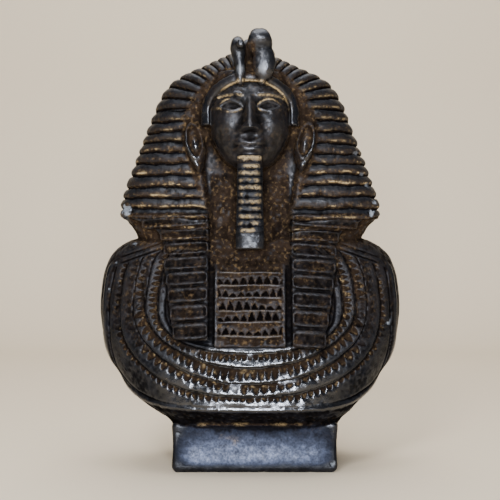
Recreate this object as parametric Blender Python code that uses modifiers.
"""Pharaoh bust carved with its plinth from one block of dark stone, for Blender 4.5.

Metres, +Z up, the face looks along -Y. The origin is the centre of the plinth's flat underside.
Each carved form is a closed shape of its own at first. One voxel skin then joins them all.
"""

import math

import bmesh
import bpy
import numpy as np

# Driving sizes
FIGURE_HEIGHT = 0.130  # from the plinth's top to the top of the brow emblem
PLINTH_WIDTH = 0.057
PLINTH_DEPTH = 0.041
PLINTH_HEIGHT = 0.0172
PLINTH_ROUNDING = 0.0022  # radius of its edges
SKIN_VOXEL = 0.0006
FIGURE_SHIFT = -0.0016  # the figure stands a little left of the plinth's middle
FACES_KEPT = 9650

# One carving unit is a 130th of the figure, a millimetre at this size. The figure's own
# proportions are given in it, with heights from the plinth's top.
FIGURE_UNITS = 130.0
UNIT = FIGURE_HEIGHT / FIGURE_UNITS
FOOT_HALF_WIDTH = PLINTH_WIDTH / 2 / UNIT
FOOT_HALF_DEPTH = PLINTH_DEPTH / 2 / UNIT
ROOT = -7.0  # how deep the figure goes into the plinth
SHIFT_HEIGHT = 8.0  # over which the figure moves off the plinth's middle

# Each level of a form: height, half width, front, back, and how square its front and back are
COLLAR_LEVELS = (
    (ROOT, FOOT_HALF_WIDTH - 3.0, 3.0 - FOOT_HALF_DEPTH, FOOT_HALF_DEPTH - 3.0, 7.0, 7.0),
    (-3.0, FOOT_HALF_WIDTH - 1.0, 1.0 - FOOT_HALF_DEPTH, FOOT_HALF_DEPTH - 1.0, 7.0, 7.0),
    (-1.0, FOOT_HALF_WIDTH + 0.4, -0.2 - FOOT_HALF_DEPTH, FOOT_HALF_DEPTH + 0.2, 6.5, 6.5),
    (0.9, FOOT_HALF_WIDTH + 2.4, -2.4 - FOOT_HALF_DEPTH, FOOT_HALF_DEPTH + 0.8, 4.8, 5.5),
    (3.9, 35.7, -27.0, 21.8, 3.4, 4.2),
    (6.6, 39.2, -28.8, 22.2, 2.8, 3.6),
    (9.5, 41.9, -29.3, 22.4, 2.5, 3.2),
    (13.1, 44.5, -29.3, 22.7, 2.4, 3.0),
    (20.1, 48.8, -28.9, 23.0, 2.3, 2.8),
    (30.5, 52.6, -27.6, 23.1, 2.3, 2.7),
    (38.4, 53.3, -26.2, 23.0, 2.3, 2.7),
    (47.9, 52.4, -24.0, 22.2, 2.4, 2.7),
    (54.9, 50.2, -22.0, 20.8, 2.5, 2.7),
    (58.0, 47.8, -20.8, 19.6, 2.6, 2.7),
    (61.0, 43.3, -19.4, 17.8, 2.8, 2.7),
    (63.4, 36.0, -17.0, 14.0, 2.8, 2.7),
)
CLOTH_LEVELS = (
    (50.0, 36.0, -16.0, 15.0, 3.0, 2.4),
    (58.0, 38.8, -18.6, 17.0, 3.1, 2.4),
    (62.4, 40.2, -19.8, 18.4, 3.2, 2.4),
    (66.5, 42.6, -20.8, 19.6, 3.3, 2.3),
    (69.3, 45.1, -21.4, 20.6, 3.4, 2.3),
    (72.0, 45.3, -21.6, 21.2, 3.4, 2.3),
    (78.9, 43.6, -21.8, 22.6, 3.3, 2.3),
    (85.8, 41.2, -22.0, 23.9, 3.2, 2.3),
    (93.3, 38.4, -22.2, 24.8, 3.1, 2.3),
    (101.7, 35.2, -22.8, 25.0, 3.0, 2.3),
    (108.6, 32.4, -24.4, 23.8, 2.9, 2.3),
    (112.6, 30.4, -26.0, 22.2, 2.7, 2.3),
    (115.6, 28.0, -27.2, 20.4, 2.5, 2.2),
    (118.4, 23.8, -27.8, 17.8, 2.3, 2.1),
    (120.6, 18.8, -27.4, 15.0, 2.1, 2.0),
    (123.4, 13.0, -24.6, 10.8, 2.0, 2.0),
    (125.6, 8.6, -19.6, 5.4, 2.0, 2.0),
    (126.9, 4.4, -13.0, -1.0, 2.0, 2.0),
)
COLLAR_MIDDLE, CLOTH_MIDDLE = 0.0, -4.0  # where the front and the back of each level meet

RIB_PITCH = 3.72
RIB_HEIGHT, BACK_RIB_HEIGHT = 1.35, 0.6
FAN_HEIGHT = 105.3  # above it the ribs fan out over the crown
FAN_RIBS = 11
FAN_BLEND = (-12.0, 8.0)  # from the fanned front to the level ribs of the back
THROAT_HALF_WIDTH, THROAT_RECESS = (13.4, 17.0), 2.4  # between the lappets and under the jaw
THROAT_HEIGHTS, THROAT_TOP, THROAT_SOFTNESS = (68.0, 90.0), (92.0, 98.0), 0.6
RIB_ROUNDNESS, RIB_LEVEL = 0.7, 0.8  # a rib's top stands over the cloth, its groove under it
RIB_BLEND = (-4.0, 10.0)  # from the front's ribs to the lower ones of the back
CLOTH_FRONT = (-10.0, -6.0)  # the front's carving fades out between these
CLOTH_EDGE_SOFTNESS, UNDERSIDE_RECESS = 0.5, 1.0
FACE_OPENING, OPENING_RIM = (19.5, 100.0, 18.0), (0.97, 1.1)  # plain cloth beside the face

# The collar's engraved lines from its rim in: half width, depth below their centre, squareness
RING_LINES = (
    (48.4, 31.9, 4.2),
    (44.5, 28.6, 2.4),
    (39.8, 24.5, 2.0),
    (35.5, 19.3, 1.9),
    (31.1, 14.4, 2.3),
    (28.5, 12.4, 2.6),
)
RING_CENTRE = 38.4  # the height at which the lines are widest
RING_STEP, RING_WIDTH_LEAST = 0.75, 0.5  # each ring stands over the next one out
RIM_LIP, RIM_OUT, RIM_REACH = 0.8, 1.3, 1.1  # the rounded lip beyond the outermost line
RING_FEET, RING_SHOULDERS = (2.0, 5.0), (52.0, 56.0)  # where the rings rise and end

LAPPET_BARS = 8
LAPPET_TOP, LAPPET_FEET = 69.8, (28.2, 25.4)  # the left one ends a little higher
LAPPET_GROWTH = 1.06  # each bar's pitch over that of the bar above it
LAPPET_INNER = 13.9
LAPPET_OUTER = (29.5, 24.8)  # below the wing and at the foot
LAPPET_PROUD = (2.2, 3.3)  # at the top and at the foot
LAPPET_TILT = 0.07  # the bars rise a little towards the middle
LAPPET_BED = 1.0  # the plain strip under the bars stands over the chest
LAPPET_ONTO_CLOTH = (54.0, 62.0)  # from the chest's front to the headcloth's
BAR_ROUNDNESS, BAR_SHARE = 0.4, 0.86  # of an ellipsoid's 1, and of its pitch
WING_TIP = (45.0, 70.0)  # half width and height of the wing's lowest point
WING_CURVE_FROM = 56.0  # where the lappet's outer edge starts to curve out to the wing's tip

PANEL_HALF_WIDTH, PANEL_TOP, PANEL_FOOT, PANEL_PROUD = 11.8, 54.0, 26.0, 1.4
PANEL_FADE = 5.0  # it rises out of the chest over this height
SINK = 4.0  # how far the chest's added forms go back into it

EYE_LINE = 105.0  # height of the eyes, halfway up the whole head
FACE_HALF_WIDTH, FACE_FRONT, FACE_BACK = 14.9, -31.8, -12.0
FACE_TOP, FACE_FOOT = 12.0, -20.2  # from the eye line
# The face's hills and hollows: height, distance to the side, its reach, height from the eye
# line, its reach
FACE_HILLS = (
    (2.5, 2.5, 1.35, -7.6, 1.5),  # wings of the nose
    (-1.9, 6.4, 4.3, 0.4, 3.0),  # eye sockets
    (1.5, 6.4, 3.1, 0.0, 1.9),  # eyes
    (1.5, 0.0, 5.2, -13.0, 4.2),  # round the mouth
    (1.9, 0.0, 3.9, -18.2, 2.2),  # chin
    (1.1, 8.6, 3.8, -5.2, 4.0),  # cheeks
)
LIPS = ((1.25, -11.9, 1.05), (1.45, -14.3, 1.15))  # height, place and reach upright of each
PARTING = (-0.9, -13.0, 0.5)
MOUTH_ENDS, PARTING_ENDS = (3.6, 5.6), (4.4, 6.0)
NOSE_HEIGHTS, NOSE_FOOT, NOSE_TOP = (1.3, 4.0), (-8.8, -7.2), (0.5, 4.5)
NOSE_HALF_WIDTH, NOSE_LENGTH, NOSE_RISE = 1.7, 9.5, 0.8
NOSE_SPREAD, NOSE_SQUARENESS = 0.06, 2.4
BROW_HEIGHT, BROW_RISE, BROW_REACH = 0.8, 4.3, 1.1
BROW_ARCH, BROW_TOP, BROW_ENDS = 0.035, 5.5, ((0.8, 2.2), (11.5, 13.0))
JAW_NARROWING, JAW_POWER, TEMPLE_NARROWING = 0.62, 2.6, 0.12
FACE_ROUNDNESS, FACE_FALL, FACE_TILT, FOREHEAD = 2.5, 14.0, 0.06, (0.0, 8.0)
CHIN_FALL, CHIN_ROUNDING, FACE_EDGE = 5.0, 3.2, 0.16

NECK_HEIGHT, NECK_HALF_HEIGHT, NECK_HALF_WIDTH = 75.0, 20.0, 10.0
NECK_MIDDLE, NECK_HALF_DEPTH, NECK_FLARE = -9.5, 11.5, 0.3

EAR_CENTRE = (18.3, -21.0, 92.6)
EAR_HALF = (3.4, 4.2, 8.8)
EAR_NARROWING, EAR_LEAN = 0.34, 0.9  # the lobe is narrower, the top leans out
EAR_HOLLOW, EAR_HOLLOW_RISE, EAR_HOLLOW_DEPTH = (0.52, 0.55), 0.22, 1.7

BEARD_TOP, BEARD_FOOT = 88.5, 58.4
BEARD_HALF_WIDTH = (3.9, 4.5)
BEARD_FRONT = (-36.4, -38.4)
BEARD_BACK, BEARD_BARS, BEARD_PLAIN_BARS = -16.0, 11, 2
BEARD_STEP, BEARD_END, BEARD_ROUNDING = 0.55, (0.82, 0.84), 1.6

BAND_HALF_WIDTH, BAND_RISE = 15.0, 10.9  # of the brow band's middle line
BAND_HEIGHT, BAND_FRONT, BAND_HALF_THICKNESS = 103.6, -31.6, 1.5
BAND_LEGS, BAND_LEG_SHARE = 12.0, 1.35  # its upright ends, and its whole length over the arch's
BAND_BOW, BAND_BOW_AT, BAND_BOW_POWER = 9.0, 17.0, 2.4  # how it follows the forehead round
BAND_PROUD, BAND_DEPTH = 1.6, 9.0

# The brow's two beasts and the web between them: x at the foot and at the head, half widths
# there, heights of the foot and of the top, place of the neck's front and reach of the head
BEAST_FOOT, BEAST_FRONT, COBRA_REACH, VULTURE_REACH = 111.6, -34.8, 2.4, 1.6
VULTURE_TOP = 127.4
WEB_FOOT, WEB_TOP, WEB_FRONT, WEB_REACH = 106.0, 127.2, -31.4, 1.2
COBRA = ((3.9, 3.1), (2.3, 4.6), BEAST_FOOT, FIGURE_UNITS, BEAST_FRONT, COBRA_REACH)
VULTURE = ((-3.1, -4.0), (1.7, 2.7), BEAST_FOOT, VULTURE_TOP, BEAST_FRONT, VULTURE_REACH)
WEB = ((0.4, 0.4), (4.8, 5.2), WEB_FOOT, WEB_TOP, WEB_FRONT, WEB_REACH)
BEAST_SET_BACK, BEAST_DEPTH = 2.6, (2.6, 6.0)  # of its middle, and to its front and back
BEAST_SWELL, BEAST_HEAD = (0.35, 0.78), (0.84, 0.16)  # as shares of its height
BEAST_FULLNESS = 0.16  # its ends are fuller than a ball's
COBRA_FLANK = ((4.6, -33.0, 119.0), (3.9, 2.6, 6.0))  # place and half size
VULTURE_BEAK = ((-3.0, -37.2, 124.0), (1.2, 1.7, 1.7))

TAIL_TOP, TAIL_FOOT, TAIL_HALF_WIDTH, TAIL_BACK = 76.0, 30.0, 6.2, 26.4
TAIL_PITCH, TAIL_TURN_HEIGHT, TAIL_FRONT = 4.2, 0.7, 8.0
TAIL_NARROWING, TAIL_ROUNDING = 0.28, 2.6

STONE_COLOUR, STONE_ROUGHNESS = (0.020, 0.014, 0.011, 1.0), 0.35

# How many segments each form's mesh has, around or across it and upright
COLLAR_SEGMENTS, CLOTH_SEGMENTS = (160, 130), (160, 190)
FACE_SEGMENTS, EAR_SEGMENTS, BEARD_SEGMENTS = (60, 66), (40, 28), (14, 78)
BAR_SEGMENTS, BED_SEGMENTS, PANEL_SEGMENTS = (28, 16), (16, 40), (16, 30)
NECK_SEGMENTS, BAND_SEGMENTS, BEAST_SEGMENTS, TAIL_SEGMENTS = (48, 11), (6, 72), (32, 32), (14, 70)


def above(height):
    """Height over the ground of a height over the plinth's top, which is in carving units."""
    root = PLINTH_HEIGHT * (1.0 - 0.5 * np.clip(height / ROOT, 0.0, 1.0))
    return np.where(height < 0.0, root, PLINTH_HEIGHT + height * UNIT)


def eased(value, low, high):
    """0 below low, 1 above high and a smooth rise between."""
    share = np.clip((value - low) / (high - low), 0.0, 1.0)
    return share * share * (3.0 - 2.0 * share)


def bump(value, centre, reach):
    """A soft hill of height 1 around centre."""
    return np.exp(-(((value - centre) / reach) ** 2))


def smooth_through(height, levels, column):
    """The value of one column of levels at each height, on a curve that doesn't overshoot."""
    table = np.array(levels)
    knots, values = table[:, 0], table[:, column]
    steps = np.diff(knots)
    slopes = np.diff(values) / steps
    turns = slopes[:-1] * slopes[1:] <= 0.0
    inner = 2.0 * slopes[:-1] * slopes[1:] / np.where(turns, 1.0, slopes[:-1] + slopes[1:])
    tangents = np.concatenate([slopes[:1], np.where(turns, 0.0, inner), slopes[-1:]])
    inside = np.clip(height, knots[0], knots[-1])
    i = np.clip(np.searchsorted(knots, inside, side="right") - 1, 0, len(steps) - 1)
    t = (inside - knots[i]) / steps[i]
    return (
        (2 * t**3 - 3 * t**2 + 1) * values[i]
        + (t**3 - 2 * t**2 + t) * steps[i] * tangents[i]
        + (3 * t**2 - 2 * t**3) * values[i + 1]
        + (t**3 - t**2) * steps[i] * tangents[i + 1]
    )


def front_of(x, height, levels, middle):
    """How far forward the front of a stacked form reaches at x and height."""
    half_width = smooth_through(height, levels, 1)
    front = smooth_through(height, levels, 2)
    squareness = smooth_through(height, levels, 4)
    share = np.clip(np.abs(x) / half_width, 0.0, 1.0)
    return middle + (front - middle) * (1.0 - share**squareness) ** (1.0 / squareness)


def collar_front(x, height):
    """The chest's front surface, which the lappets and the panel lie on."""
    return front_of(x, height, COLLAR_LEVELS, COLLAR_MIDDLE)


def cloth_front(x, height):
    """The headcloth's front surface without its ribs."""
    return front_of(x, height, CLOTH_LEVELS, CLOTH_MIDDLE)


def form(name, shape, move):
    """A form from a bmesh whose vertices are moved by move(x, y, z), in carving units."""
    mesh = bpy.data.meshes.new(name)
    shape.to_mesh(mesh)
    points = np.empty(len(mesh.vertices) * 3, np.float32)
    mesh.vertices.foreach_get("co", points)
    x, y, z = move(*points.reshape(-1, 3).astype(float).T)
    shift = FIGURE_SHIFT * eased(z, 0.0, SHIFT_HEIGHT)
    moved = np.column_stack([x * UNIT + shift, y * UNIT, above(z)]).astype(np.float32)
    mesh.vertices.foreach_set("co", moved.ravel())
    shape.free()
    return mesh


def ball(around, rings):
    """A unit ball with its poles up and down."""
    shape = bmesh.new()
    bmesh.ops.create_uvsphere(shape, u_segments=around, v_segments=rings, radius=1.0)
    return shape


def tube(around, rings):
    """A closed upright cylinder of radius 1, from -1 to 1."""
    shape = bmesh.new()
    bmesh.ops.create_cone(
        shape, cap_ends=True, cap_tris=True, segments=around, radius1=1.0, radius2=1.0, depth=2.0
    )
    upright = [e for e in shape.edges if abs(e.verts[0].co.z - e.verts[1].co.z) > 1.0]
    bmesh.ops.subdivide_edges(shape, edges=upright, cuts=rings - 1, use_grid_fill=False)
    return shape


def block(across, upright):
    """A closed slab from -1 to 1 in x and z, with its front at y = -1 and its back at y = 1."""
    shape = bmesh.new()
    bmesh.ops.create_grid(shape, x_segments=across, y_segments=upright, size=1.0)
    back = bmesh.ops.extrude_face_region(shape, geom=shape.faces[:])
    lifted = [v for v in back["geom"] if isinstance(v, bmesh.types.BMVert)]
    bmesh.ops.translate(shape, verts=lifted, vec=(0.0, 0.0, 1.0))
    for vertex in shape.verts:
        x, z, lift = vertex.co
        vertex.co = (x, 2.0 * lift - 1.0, z)
    bmesh.ops.recalc_face_normals(shape, faces=shape.faces[:])
    return shape


def stacked(name, levels, middle, segments, relief):
    """A form built up of level sections, each of them round or squarish, with its relief."""
    low, high = levels[0][0], levels[-1][0]
    rings = segments[1]

    def move(x, y, z):
        angle = np.arctan2(x, -y)
        fall = np.arccos(np.clip(z, -1.0, 1.0)) * rings / math.pi
        height = high + (low - high) * np.clip((fall - 1.0) / (rings - 2.0), 0.0, 1.0)
        inside = np.where((fall < 0.5) | (fall > rings - 0.5), 0.0, 1.0)
        in_front = np.cos(angle) > 0.0
        squareness = np.where(
            in_front, smooth_through(height, levels, 4), smooth_through(height, levels, 5)
        )
        reach = np.where(
            in_front,
            middle - smooth_through(height, levels, 2),
            smooth_through(height, levels, 3) - middle,
        )
        half_width = smooth_through(height, levels, 1)
        power = 2.0 / squareness
        new_x = half_width * np.sign(np.sin(angle)) * np.abs(np.sin(angle)) ** power
        deep = -np.sign(np.cos(angle)) * np.abs(np.cos(angle)) ** power
        new_y = middle + reach * deep
        lift = relief(new_x, new_y, height)
        out_x = np.sign(new_x) * np.abs(new_x / half_width) ** (squareness - 1.0)
        out_y = np.sign(deep) * np.abs(deep) ** (squareness - 1.0)
        length = np.hypot(out_x, out_y)
        new_x = new_x + lift * out_x / length
        new_y = new_y + lift * out_y / length
        return new_x * inside, middle + (new_y - middle) * inside, height

    return form(name, ball(*segments), move)


def rib_place(x, y, z):
    """Which rib of the headcloth a point is on: whole numbers lie in the grooves."""
    level = (FAN_HEIGHT - z) / RIB_PITCH
    angle = np.arctan2(z - FAN_HEIGHT, np.abs(x) + 1e-6)
    fan = -angle / (math.pi / 2) * FAN_RIBS
    fanned = np.where(z > FAN_HEIGHT, fan, level)
    back = eased(y, *FAN_BLEND)
    return fanned * (1.0 - back) + level * back


def cloth_edge(z):
    """Half width of the cloth's front: down the lappets' outer edges, which curve out to the tips."""
    down = np.clip((WING_CURVE_FROM - z) / (WING_CURVE_FROM - LAPPET_FEET[1]), 0.0, 1.0)
    straight = LAPPET_OUTER[0] + (LAPPET_OUTER[1] - LAPPET_OUTER[0]) * down
    up = np.clip((z - WING_CURVE_FROM) / (WING_TIP[1] - WING_CURVE_FROM), 0.0, 1.2)
    return straight + (WING_TIP[0] - LAPPET_OUTER[0]) * up**4


def cloth_relief(x, y, z):
    """Round ribs between narrow grooves, with a plain throat and plain undersides of the wings."""
    across = np.abs(np.sin(math.pi * rib_place(x, y, z)))
    front = 1.0 - eased(y, *CLOTH_FRONT)
    ribbed = eased(z, WING_TIP[1] - 2.0, WING_TIP[1] - 1.0) * (1.0 - front)
    ribbed = ribbed + front * eased(
        cloth_edge(z) - np.abs(x), -CLOTH_EDGE_SOFTNESS, CLOTH_EDGE_SOFTNESS
    )
    up = np.clip((z - THROAT_HEIGHTS[0]) / (THROAT_HEIGHTS[1] - THROAT_HEIGHTS[0]), 0.0, 1.0)
    throat = THROAT_HALF_WIDTH[0] + (THROAT_HALF_WIDTH[1] - THROAT_HALF_WIDTH[0]) * up
    opening = eased(throat - np.abs(x), -THROAT_SOFTNESS, THROAT_SOFTNESS)
    opening = opening * (1.0 - eased(z, *THROAT_TOP)) * front
    half_width, middle, half_height = FACE_OPENING
    from_face = eased(np.hypot(x / half_width, (z - middle) / half_height), *OPENING_RIM)
    beside_face = 1.0 - (1.0 - from_face) * front
    height = RIB_HEIGHT + (BACK_RIB_HEIGHT - RIB_HEIGHT) * eased(y, *RIB_BLEND)
    ribs = height * (across**RIB_ROUNDNESS - RIB_LEVEL) * ribbed * beside_face * (1.0 - opening)
    return ribs - UNDERSIDE_RECESS * (1.0 - ribbed) - THROAT_RECESS * opening


def beyond_line(x, z, line):
    """How far out beyond one of the collar's engraved lines a point of its front is."""
    half_width, depth, squareness = line
    rise = np.clip(z - RING_CENTRE, 0.0, None)
    widest = smooth_through(RING_CENTRE, COLLAR_LEVELS, 1)
    across_reach = half_width + smooth_through(RING_CENTRE + rise, COLLAR_LEVELS, 1) - widest
    across = np.abs(x) / across_reach + 1e-6
    down = np.clip(RING_CENTRE - z, 0.0, None) / depth
    share = (across**squareness + down**squareness) ** (1.0 / squareness)
    power = squareness - 1.0
    slope = np.hypot((across / share) ** power / across_reach, (down / share) ** power / depth)
    return (share - 1.0) / slope


def collar_relief(x, y, z):
    """The collar's rings, each standing a little over the next one out, and its round rim."""
    outs = [beyond_line(x, z, line) for line in RING_LINES]
    lift = RIM_LIP * bump(outs[0], RIM_OUT, RIM_REACH)
    for outer, inner in zip(outs[:-1], outs[1:]):
        on_ring = (outer < 0.0) & (inner >= 0.0)
        width = np.clip(inner - outer, RING_WIDTH_LEAST, None)
        lift = lift + np.where(on_ring, RING_STEP * inner / width, 0.0)
    below_shoulder = 1.0 - eased(z, *RING_SHOULDERS)
    return lift * np.where(y < 0.0, 1.0, 0.0) * below_shoulder * eased(z, *RING_FEET)


def lappet_bars(side, foot):
    """The bars of one lappet, from the wing down, each a little taller than the one above."""
    growth = [LAPPET_GROWTH**i for i in range(LAPPET_BARS)]
    pitch = (LAPPET_TOP - foot) / sum(growth)
    top = LAPPET_TOP
    bars = []
    for share in growth:
        height = pitch * share
        middle = top - height / 2
        down = (LAPPET_TOP - middle) / (LAPPET_TOP - foot)
        proud = LAPPET_PROUD[0] + (LAPPET_PROUD[1] - LAPPET_PROUD[0]) * down
        outer = float(cloth_edge(middle))
        half = ((outer - LAPPET_INNER) / 2, proud, BAR_SHARE * height / 2)
        centre = (side * (outer + LAPPET_INNER) / 2, 0.0, middle)
        bars.append(bar(centre, half, -side * LAPPET_TILT))
        top -= height
    return bars


def lappet_ground(x, z):
    """What the lappets lie on: the chest, and the headcloth's front above it."""
    share = eased(z, *LAPPET_ONTO_CLOTH)
    return collar_front(x, z) * (1.0 - share) + cloth_front(x, z) * share


def bar(centre, half, tilt):
    """A rounded bar that lies on its lappet: its y counts from there, and it rises by tilt."""

    def move(x, y, z):
        rounded = [np.sign(v) * np.abs(v) ** BAR_ROUNDNESS for v in (x, y, z)]
        new_x, new_y, new_z = (c + h * v for c, h, v in zip(centre, half, rounded))
        new_z = new_z + tilt * (new_x - centre[0])
        return new_x, new_y + lappet_ground(new_x, new_z), new_z

    return form("bar", ball(*BAR_SEGMENTS), move)


def lappet_bed(side, foot):
    """The plain strip that a lappet's bars stand on."""

    def move(x, y, z):
        height = (LAPPET_TOP + foot) / 2 + z * (LAPPET_TOP - foot) / 2
        outer = cloth_edge(height)
        new_x = side * ((outer + LAPPET_INNER) / 2 + x * (outer - LAPPET_INNER) / 2)
        new_y = lappet_ground(new_x, height) - np.where(y < 0.0, LAPPET_BED, -SINK)
        return new_x, new_y, height

    return form("lappet bed", block(*BED_SEGMENTS), move)


def panel():
    """The slab of pattern between the lappets."""

    def move(x, y, z):
        height = (PANEL_TOP + PANEL_FOOT) / 2 + z * (PANEL_TOP - PANEL_FOOT) / 2
        new_x = x * PANEL_HALF_WIDTH
        rise = 2.0 * eased(PANEL_TOP - height, -PANEL_FADE, PANEL_FADE) - 1.0
        new_y = collar_front(new_x, height) - np.where(y < 0.0, PANEL_PROUD * rise, -SINK)
        return new_x, new_y, height

    return form("panel", block(*PANEL_SEGMENTS), move)


def face_relief(x, z):
    """How far the features stand forward of the plain oval, at x and at z from the eye line."""
    side = np.abs(x)
    relief = sum(h * bump(side, at, reach) * bump(z, up, high) for h, at, reach, up, high in FACE_HILLS)
    ridge = eased(z, *NOSE_FOOT) * (1.0 - eased(z, *NOSE_TOP))
    down = np.clip((NOSE_LENGTH + NOSE_FOOT[0] + NOSE_RISE - z) / NOSE_LENGTH, 0.0, 1.0)
    nose_half = NOSE_HALF_WIDTH + NOSE_SPREAD * np.clip(-z, 0.0, NOSE_LENGTH)
    nose = ridge * (NOSE_HEIGHTS[0] + NOSE_HEIGHTS[1] * down)
    nose = nose * np.exp(-((side / nose_half) ** NOSE_SQUARENESS))
    brow_line = BROW_RISE - BROW_ARCH * (side - BROW_TOP) ** 2
    on_brow = eased(side, *BROW_ENDS[0]) * (1.0 - eased(side, *BROW_ENDS[1]))
    brow = BROW_HEIGHT * bump(z, brow_line, BROW_REACH) * on_brow
    lips = sum(h * bump(z, up, high) for h, up, high in LIPS) * (1.0 - eased(side, *MOUTH_ENDS))
    parting = PARTING[0] * bump(z, *PARTING[1:]) * (1.0 - eased(side, *PARTING_ENDS))
    return relief + nose + brow + lips + parting


def face_half_width(z):
    """Half the width of the face, at z from the eye line: widest at the cheeks."""
    jaw = np.clip(z / FACE_FOOT, 0.0, 1.0)
    brow = np.clip(z / FACE_TOP, 0.0, 1.0)
    return FACE_HALF_WIDTH * (1.0 - JAW_NARROWING * jaw**JAW_POWER) * (1.0 - TEMPLE_NARROWING * brow**2)


def face():
    """An oval with calm, regular features. It goes back into the headcloth."""

    def move(x, y, z):
        height = (FACE_TOP + FACE_FOOT) / 2 + z * (FACE_TOP - FACE_FOOT) / 2
        half_width = face_half_width(height)
        new_x = x * half_width
        fall = 1.0 - np.sqrt(np.clip(1.0 - np.abs(x) ** FACE_ROUNDNESS, 0.0, 1.0))
        under_chin = CHIN_FALL * (1.0 - eased(height, FACE_FOOT, FACE_FOOT + CHIN_ROUNDING)) ** 2
        tilt = FACE_TILT * height * eased(height, *FOREHEAD)
        front = FACE_FRONT + FACE_FALL * fall + under_chin + tilt
        front = front - face_relief(new_x, height) * eased(1.0 - np.abs(x), 0.0, FACE_EDGE)
        return new_x, np.where(y < 0.0, front, FACE_BACK), EYE_LINE + height

    return form("face", block(*FACE_SEGMENTS), move)


def ears():
    """Both ears, leaning out from beside the cheeks, each with its hollow."""
    made = []
    for side in (-1.0, 1.0):

        def move(x, y, z, side=side):
            lobe = 1.0 - EAR_NARROWING * eased(-z, -0.1, 1.0)
            new_x = EAR_CENTRE[0] + EAR_HALF[0] * x * lobe + EAR_LEAN * z
            in_hollow = np.hypot(x / EAR_HOLLOW[0], (z - EAR_HOLLOW_RISE) / EAR_HOLLOW[1])
            hollow = EAR_HOLLOW_DEPTH * bump(in_hollow, 0.0, 1.0)
            new_y = EAR_CENTRE[1] + EAR_HALF[1] * y + np.where(y < 0.0, hollow, 0.0) - x
            return side * new_x, new_y, EAR_CENTRE[2] + EAR_HALF[2] * z

        made.append(form("ear", ball(*EAR_SEGMENTS), move))
    return made


def beard():
    """The plaited beard, a flat-faced block that goes back to the neck and widens downwards."""

    def move(x, y, z):
        height = (BEARD_TOP + BEARD_FOOT) / 2 + z * (BEARD_TOP - BEARD_FOOT) / 2
        down = (1.0 - z) / 2
        half_width = BEARD_HALF_WIDTH[0] + (BEARD_HALF_WIDTH[1] - BEARD_HALF_WIDTH[0]) * down
        front = BEARD_FRONT[0] + (BEARD_FRONT[1] - BEARD_FRONT[0]) * down
        place = (down * (BEARD_BARS + BEARD_PLAIN_BARS)) % 1.0
        step = BEARD_STEP * place * (1.0 - eased(down, *BEARD_END))
        curve = BEARD_ROUNDING * np.abs(x) ** 4
        return x * half_width, np.where(y < 0.0, front + step + curve, BEARD_BACK), height

    return form("beard", block(*BEARD_SEGMENTS), move)


def brow_band():
    """The band across the brow, an arch that follows the forehead round, with upright ends."""

    def move(x, y, z):
        along = np.clip(BAND_LEG_SHARE * z, -1.0, 1.0)
        legs = BAND_LEGS * (np.abs(BAND_LEG_SHARE * z) - np.abs(along))
        around = math.pi * (0.5 - 0.5 * along)
        half_width = BAND_HALF_WIDTH + BAND_HALF_THICKNESS * x
        rise = BAND_RISE + BAND_HALF_THICKNESS * x
        new_x = half_width * np.cos(around)
        bow = BAND_BOW * np.clip(np.abs(new_x) / BAND_BOW_AT, 0.0, 1.0) ** BAND_BOW_POWER
        front = BAND_FRONT - BAND_PROUD * (1.0 - 0.5 * x**2) + bow
        height = BAND_HEIGHT + rise * np.sin(around) - legs
        return new_x, np.where(y < 0.0, front, front + BAND_DEPTH), height

    return form("brow band", block(*BAND_SEGMENTS), move)


def neck():
    """The neck, a round column from the jaw down to the chest, wider below."""

    def move(x, y, z):
        flare = 1.0 + NECK_FLARE * eased(-z, -0.2, 1.0)
        new_y = NECK_MIDDLE + NECK_HALF_DEPTH * y
        return NECK_HALF_WIDTH * x * flare, new_y, NECK_HEIGHT + NECK_HALF_HEIGHT * z

    return form("neck", tube(*NECK_SEGMENTS), move)


def beast(middles, half_widths, foot, top, front, head_reach):
    """One of the brow's royal beasts: a neck that swells as it rises to a blunt head."""

    def move(x, y, z):
        rise = (z + 1.0) / 2
        grown = eased(rise, *BEAST_SWELL)
        middle = middles[0] + (middles[1] - middles[0]) * grown
        half_width = half_widths[0] + (half_widths[1] - half_widths[0]) * grown
        fuller = np.clip(1.0 - z**2, 1e-6, 1.0) ** -BEAST_FULLNESS
        neck = front + BEAST_SET_BACK - head_reach * bump(rise, *BEAST_HEAD)
        depth = np.where(y < 0.0, *BEAST_DEPTH)
        new_y = neck + depth * y * fuller
        return middle + half_width * x * fuller, new_y, foot + (top - foot) * rise

    return form("beast", ball(*BEAST_SEGMENTS), move)


def bead(place, half):
    """An ellipsoid of half sizes half at place."""

    def move(x, y, z):
        return tuple(centre + reach * v for centre, reach, v in zip(place, half, (x, y, z)))

    return form("bead", ball(*BEAST_SEGMENTS), move)


def tail():
    """The gathered end of the headcloth that hangs down the back, with its turns of binding."""

    def move(x, y, z):
        height = (TAIL_TOP + TAIL_FOOT) / 2 + z * (TAIL_TOP - TAIL_FOOT) / 2
        half_width = TAIL_HALF_WIDTH * (1.0 - TAIL_NARROWING * (1.0 - z) / 2)
        turn = np.abs(np.sin(height * math.pi / TAIL_PITCH))
        round_back = TAIL_BACK + TAIL_TURN_HEIGHT * np.sqrt(turn) - TAIL_ROUNDING * np.abs(x) ** 3
        return x * half_width, np.where(y > 0.0, round_back, TAIL_FRONT), height

    return form("tail", block(*TAIL_SEGMENTS), move)


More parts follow.
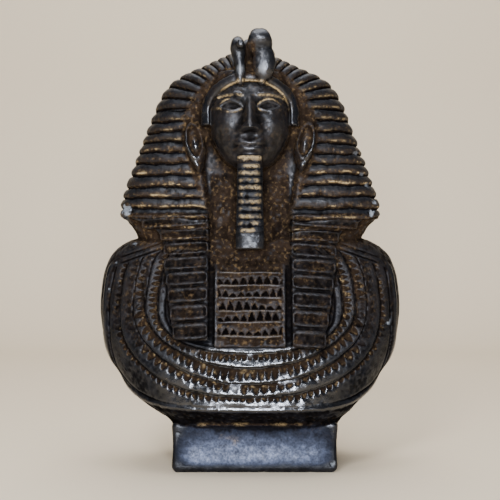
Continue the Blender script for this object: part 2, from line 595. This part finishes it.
def all_forms():
    """Every carved form of the figure."""
    made = [
        stacked("collar", COLLAR_LEVELS, COLLAR_MIDDLE, COLLAR_SEGMENTS, collar_relief),
        stacked("cloth", CLOTH_LEVELS, CLOTH_MIDDLE, CLOTH_SEGMENTS, cloth_relief),
        panel(),
        face(),
        neck(),
        beard(),
        brow_band(),
        beast(*COBRA),
        beast(*VULTURE),
        beast(*WEB),
        bead(*COBRA_FLANK),
        bead(*VULTURE_BEAK),
        tail(),
    ]
    for side, foot in zip((-1.0, 1.0), LAPPET_FEET):
        made.append(lappet_bed(side, foot))
        made += lappet_bars(side, foot)
    return made + ears()


def stone():
    """Dark waxed stone, nearly black."""
    material = bpy.data.materials.new("dark_stone")
    material.use_nodes = True
    shader = material.node_tree.nodes["Principled BSDF"]
    shader.inputs["Base Color"].default_value = STONE_COLOUR
    shader.inputs["Roughness"].default_value = STONE_ROUGHNESS
    shader.inputs["Metallic"].default_value = 0.0
    return material


def face_count(obj):
    """How many triangles the object has with its modifiers."""
    graph = bpy.context.evaluated_depsgraph_get()
    evaluated = obj.evaluated_get(graph)
    mesh = evaluated.to_mesh()
    mesh.calc_loop_triangles()
    count = len(mesh.loop_triangles)
    evaluated.to_mesh_clear()
    return count


def plinth(collection):
    """The block under the figure, with rounded edges. The figure takes it in."""
    shape = bmesh.new()
    bmesh.ops.create_cube(shape, size=1.0)
    size = (PLINTH_WIDTH, PLINTH_DEPTH, PLINTH_HEIGHT)
    bmesh.ops.scale(shape, verts=shape.verts, vec=size)
    bmesh.ops.translate(shape, verts=shape.verts, vec=(0.0, 0.0, PLINTH_HEIGHT / 2))
    bmesh.ops.bevel(
        shape, geom=shape.edges[:], offset=PLINTH_ROUNDING, segments=3, profile=0.5,
        affect="EDGES", material=-1
    )
    mesh = bpy.data.meshes.new("plinth")
    shape.to_mesh(mesh)
    shape.free()
    block_below = bpy.data.objects.new("plinth", mesh)
    block_below.hide_render = True
    block_below.display_type = "WIRE"
    collection.objects.link(block_below)
    return block_below


def carved_block(collection, block_below):
    """The one solid: all forms under one skin, softened, thinned out and joined to the plinth."""
    joined = bmesh.new()
    for mesh in all_forms():
        joined.from_mesh(mesh)
        bpy.data.meshes.remove(mesh)
    mesh = bpy.data.meshes.new("pharaoh_bust")
    joined.to_mesh(mesh)
    joined.free()
    mesh.materials.append(stone())
    bust = bpy.data.objects.new("pharaoh_bust", mesh)
    collection.objects.link(bust)
    skin = bust.modifiers.new("one skin", "REMESH")
    skin.mode = "VOXEL"
    skin.voxel_size = SKIN_VOXEL
    skin.use_smooth_shade = True
    thin = bust.modifiers.new("thin out", "DECIMATE")
    thin.ratio = 1.0
    thin.ratio = min(1.0, FACES_KEPT / face_count(bust))
    stand = bust.modifiers.new("with its plinth", "BOOLEAN")
    stand.operation = "UNION"
    stand.object = block_below
    return bust


def new_collection(name):
    """A collection linked to the scene."""
    collection = bpy.data.collections.new(name)
    bpy.context.scene.collection.children.link(collection)
    return collection


def main():
    """Clears the scene and builds the bust."""
    for obj in list(bpy.data.objects):
        bpy.data.objects.remove(obj)
    block_below = plinth(new_collection("helpers"))
    carved_block(new_collection("pharaoh bust"), block_below)


main()
